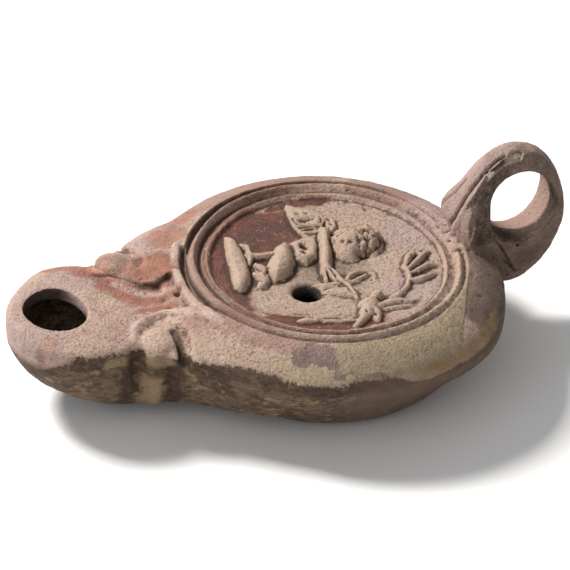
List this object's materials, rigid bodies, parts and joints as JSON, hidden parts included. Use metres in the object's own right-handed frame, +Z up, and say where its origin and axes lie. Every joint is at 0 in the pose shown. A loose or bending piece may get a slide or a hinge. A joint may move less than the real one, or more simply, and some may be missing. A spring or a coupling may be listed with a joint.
{
  "type": "roman oil lamp",
  "caption": "Hollow mould-made clay oil lamp: round body with a sunken relief disc, a scroll-flanked wick nozzle, a filling hole and an upright ring handle.",
  "frame": {"origin": "centre of the flat base, on the axis of the round body", "axes": "+Z up from the base, +X towards the ring handle, so the nozzle points along -X"},
  "size_m": [0.1283, 0.0796, 0.0468],
  "materials": {
    "fired_clay": "worn matt slip over fired clay"
  },
  "bodies": {
    "root": {"oil_lamp": "fired_clay"}
  },
  "joints": []
}
